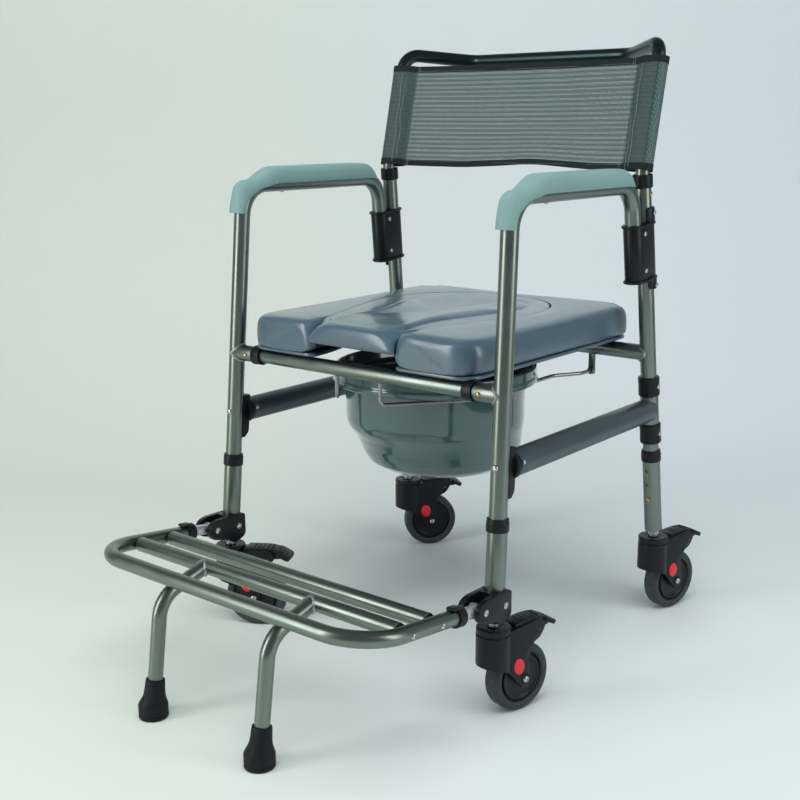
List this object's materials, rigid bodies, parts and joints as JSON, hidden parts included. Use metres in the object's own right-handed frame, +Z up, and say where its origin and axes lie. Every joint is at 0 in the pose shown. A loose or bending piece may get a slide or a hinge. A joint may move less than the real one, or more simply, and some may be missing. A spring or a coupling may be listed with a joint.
{
  "type": "wheeled commode chair",
  "caption": "Wheeled commode chair with a padded open-front seat and insert, lift-out pan, mesh back, padded arms, telescoping legs, locking casters and flip-up footrest.",
  "frame": {"origin": "middle of the bounding box at floor level", "axes": "+Z up, the chair faces -Y, the user's left is +X"},
  "size_m": [0.5976, 0.8962, 0.9384],
  "materials": {
    "tube_paint": "satin metallic grey-brown",
    "rail_paint": "satin dark blue-grey",
    "silver": "zinc-plated, satin",
    "brass": "bright yellow-passivated",
    "black_plastic": "moulded, light grain",
    "rubber": "matt",
    "tyre": "matt grey tread on a black hub",
    "arm_foam": "foamed skin with a fine grain",
    "vinyl": "padded vinyl with a fine grain",
    "pan_plastic": "glossy moulded",
    "mesh_cloth": "coated mesh weave"
  },
  "bodies": {
    "frame": {"rear_frame": "tube_paint", "side_tube_left": "tube_paint", "side_tube_right": "tube_paint", "side_rail_left": "rail_paint", "side_rail_right": "rail_paint", "rail_saddle_left": "black_plastic", "rail_saddle_right": "black_plastic", "hinge_collar_bottom_left": "black_plastic", "hinge_collar_bottom_right": "black_plastic", "hinge_collar_top_left": "black_plastic", "hinge_collar_top_right": "black_plastic", "arm_bracket_left": "black_plastic", "arm_bracket_right": "black_plastic", "arm_pad_left": "arm_foam", "arm_pad_right": "arm_foam", "front_crossbar": "tube_paint", "pan_rod_left": "silver", "pan_rod_right": "silver", "back_frame": "tube_paint", "back_bush_left": "black_plastic", "back_bush_right": "black_plastic", "back_mesh": "mesh_cloth"},
    "lower_leg_front_left": {"lower_leg_front_left": "tube_paint", "clevis_left": "black_plastic"},
    "lower_leg_front_right": {"lower_leg_front_right": "tube_paint", "clevis_right": "black_plastic"},
    "lower_leg_rear_left": {"lower_leg_rear_left": "tube_paint"},
    "lower_leg_rear_right": {"lower_leg_rear_right": "tube_paint"},
    "footrest": {"footrest_hoop": "tube_paint", "footrest_stub_left": "silver", "footrest_stub_right": "silver", "footrest_rear_bar": "tube_paint", "footrest_mid_bar": "tube_paint", "footrest_tip_left": "rubber", "footrest_tip_right": "rubber"},
    "seat": {"seat_base": "vinyl", "seat_pad": "vinyl"},
    "seat_insert": {"seat_insert": "vinyl"},
    "commode_pan": {"commode_pan": "pan_plastic"},
    "caster_fork_front_left": {"caster_fork_front_left": "black_plastic"},
    "caster_wheel_front_left": {"caster_wheel_front_left": "tyre"},
    "caster_pedal_front_left": {"caster_pedal_front_left": "black_plastic"},
    "caster_fork_front_right": {"caster_fork_front_right": "black_plastic"},
    "caster_wheel_front_right": {"caster_wheel_front_right": "tyre"},
    "caster_pedal_front_right": {"caster_pedal_front_right": "black_plastic"},
    "caster_fork_rear_left": {"caster_fork_rear_left": "black_plastic"},
    "caster_wheel_rear_left": {"caster_wheel_rear_left": "tyre"},
    "caster_pedal_rear_left": {"caster_pedal_rear_left": "black_plastic"},
    "caster_fork_rear_right": {"caster_fork_rear_right": "black_plastic"},
    "caster_wheel_rear_right": {"caster_wheel_rear_right": "tyre"},
    "caster_pedal_rear_right": {"caster_pedal_rear_right": "black_plastic"},
    "crossbar_button_left": {"crossbar_button_left": "brass"},
    "back_button_left": {"back_button_left": "brass"},
    "leg_button_front_left": {"leg_button_front_left": "brass"},
    "leg_button_rear_left": {"leg_button_rear_left": "brass"},
    "crossbar_button_right": {"crossbar_button_right": "brass"},
    "back_button_right": {"back_button_right": "brass"},
    "leg_button_front_right": {"leg_button_front_right": "brass"},
    "leg_button_rear_right": {"leg_button_rear_right": "brass"}
  },
  "joints": [
    {"name": "seat_flip", "type": "hinge", "parent": "frame", "child": "seat", "pos_m": [-0.00961, 0.30515, 0.4515], "axis": [-1, 0, 0], "range_deg": [0, 55]},
    {"name": "insert_lift", "type": "slide", "parent": "seat", "child": "seat_insert", "axis": [0, 0, 1], "range_m": [0, 0.035]},
    {"name": "pan_lift", "type": "slide", "parent": "frame", "child": "commode_pan", "axis": [0, 0, 1], "range_m": [0, 0.02]},
    {"name": "leg_slide_front_left", "type": "slide", "parent": "frame", "child": "lower_leg_front_left", "axis": [0.0214, -0.0777, -0.9967], "range_m": [0, 0.0508], "deforming": ["leg_button_front_left"]},
    {"name": "leg_slide_front_right", "type": "slide", "parent": "frame", "child": "lower_leg_front_right", "axis": [-0.0214, -0.0777, -0.9967], "range_m": [0, 0.0508], "deforming": ["leg_button_front_right"]},
    {"name": "leg_slide_rear_left", "type": "slide", "parent": "frame", "child": "lower_leg_rear_left", "axis": [0.0214, 0.1103, -0.9937], "range_m": [0, 0.0508], "deforming": ["leg_button_rear_left"]},
    {"name": "leg_slide_rear_right", "type": "slide", "parent": "frame", "child": "lower_leg_rear_right", "axis": [-0.0214, 0.1103, -0.9937], "range_m": [0, 0.0508], "deforming": ["leg_button_rear_right"]},
    {"name": "footrest_flip", "type": "hinge", "parent": "lower_leg_front_left", "child": "footrest", "pos_m": [0.25439, -0.17095, 0.1733], "axis": [-1, 0, 0], "range_deg": [0, 90]},
    {"name": "swivel_front_left", "type": "hinge", "parent": "lower_leg_front_left", "child": "caster_fork_front_left", "pos_m": [0.25495, -0.12753, 0.14], "axis": [0, 0, 1], "continuous": true},
    {"name": "wheel_spin_front_left", "type": "hinge", "parent": "caster_fork_front_left", "child": "caster_wheel_front_left", "pos_m": [0.2656, -0.08484, 0.05], "axis": [-0.9703, 0.2419, 0], "continuous": true},
    {"name": "brake_pedal_front_left", "type": "hinge", "parent": "caster_fork_front_left", "child": "caster_pedal_front_left", "pos_m": [0.27179, -0.06, 0.1185], "axis": [-0.9703, 0.2419, 0], "range_deg": [0, 14]},
    {"name": "swivel_front_right", "type": "hinge", "parent": "lower_leg_front_right", "child": "caster_fork_front_right", "pos_m": [-0.27418, -0.12753, 0.14], "axis": [0, 0, 1], "continuous": true},
    {"name": "wheel_spin_front_right", "type": "hinge", "parent": "caster_fork_front_right", "child": "caster_wheel_front_right", "pos_m": [-0.23497, -0.10755, 0.05], "axis": [-0.454, 0.891, 0], "continuous": true},
    {"name": "brake_pedal_front_right", "type": "hinge", "parent": "caster_fork_front_right", "child": "caster_pedal_front_right", "pos_m": [-0.21216, -0.09593, 0.1185], "axis": [-0.454, 0.891, 0], "range_deg": [0, 14]},
    {"name": "swivel_rear_left", "type": "hinge", "parent": "lower_leg_rear_left", "child": "caster_fork_rear_left", "pos_m": [0.25495, 0.34066, 0.14], "axis": [0, 0, 1], "continuous": true},
    {"name": "wheel_spin_rear_left", "type": "hinge", "parent": "caster_fork_rear_left", "child": "caster_wheel_rear_left", "pos_m": [0.2656, 0.38335, 0.05], "axis": [-0.9703, 0.2419, 0], "continuous": true},
    {"name": "brake_pedal_rear_left", "type": "hinge", "parent": "caster_fork_rear_left", "child": "caster_pedal_rear_left", "pos_m": [0.27179, 0.40819, 0.1185], "axis": [-0.9703, 0.2419, 0], "range_deg": [0, 14]},
    {"name": "swivel_rear_right", "type": "hinge", "parent": "lower_leg_rear_right", "child": "caster_fork_rear_right", "pos_m": [-0.27418, 0.34066, 0.14], "axis": [0, 0, 1], "continuous": true},
    {"name": "wheel_spin_rear_right", "type": "hinge", "parent": "caster_fork_rear_right", "child": "caster_wheel_rear_right", "pos_m": [-0.24709, 0.37533, 0.05], "axis": [-0.788, 0.6157, 0], "continuous": true},
    {"name": "brake_pedal_rear_right", "type": "hinge", "parent": "caster_fork_rear_right", "child": "caster_pedal_rear_right", "pos_m": [-0.23132, 0.39551, 0.1185], "axis": [-0.788, 0.6157, 0], "range_deg": [0, 14]},
    {"name": "crossbar_button_left_press", "type": "slide", "parent": "frame", "child": "crossbar_button_left", "axis": [0, 1, 0], "range_m": [0, 0.004], "stiffness_N_per_m": 200},
    {"name": "back_button_left_press", "type": "slide", "parent": "frame", "child": "back_button_left", "axis": [-0.9998, 0, -0.0215], "range_m": [0, 0.004], "stiffness_N_per_m": 200},
    {"name": "leg_button_front_left_press", "type": "slide", "parent": "frame", "child": "leg_button_front_left", "axis": [0, -0.997, 0.0778], "range_m": [0, 0.004], "stiffness_N_per_m": 200},
    {"name": "leg_button_rear_left_press", "type": "slide", "parent": "frame", "child": "leg_button_rear_left", "axis": [0, 0.9939, 0.1103], "range_m": [0, 0.004], "stiffness_N_per_m": 200},
    {"name": "crossbar_button_right_press", "type": "slide", "parent": "frame", "child": "crossbar_button_right", "axis": [0, 1, 0], "range_m": [0, 0.004], "stiffness_N_per_m": 200},
    {"name": "back_button_right_press", "type": "slide", "parent": "frame", "child": "back_button_right", "axis": [0.9998, 0, -0.0215], "range_m": [0, 0.004], "stiffness_N_per_m": 200},
    {"name": "leg_button_front_right_press", "type": "slide", "parent": "frame", "child": "leg_button_front_right", "axis": [0, -0.997, 0.0778], "range_m": [0, 0.004], "stiffness_N_per_m": 200},
    {"name": "leg_button_rear_right_press", "type": "slide", "parent": "frame", "child": "leg_button_rear_right", "axis": [0, 0.9939, 0.1103], "range_m": [0, 0.004], "stiffness_N_per_m": 200}
  ],
  "couplings": [
    {"joint": "leg_slide_front_right", "follows": "leg_slide_front_left", "ratio": 1}
  ]
}
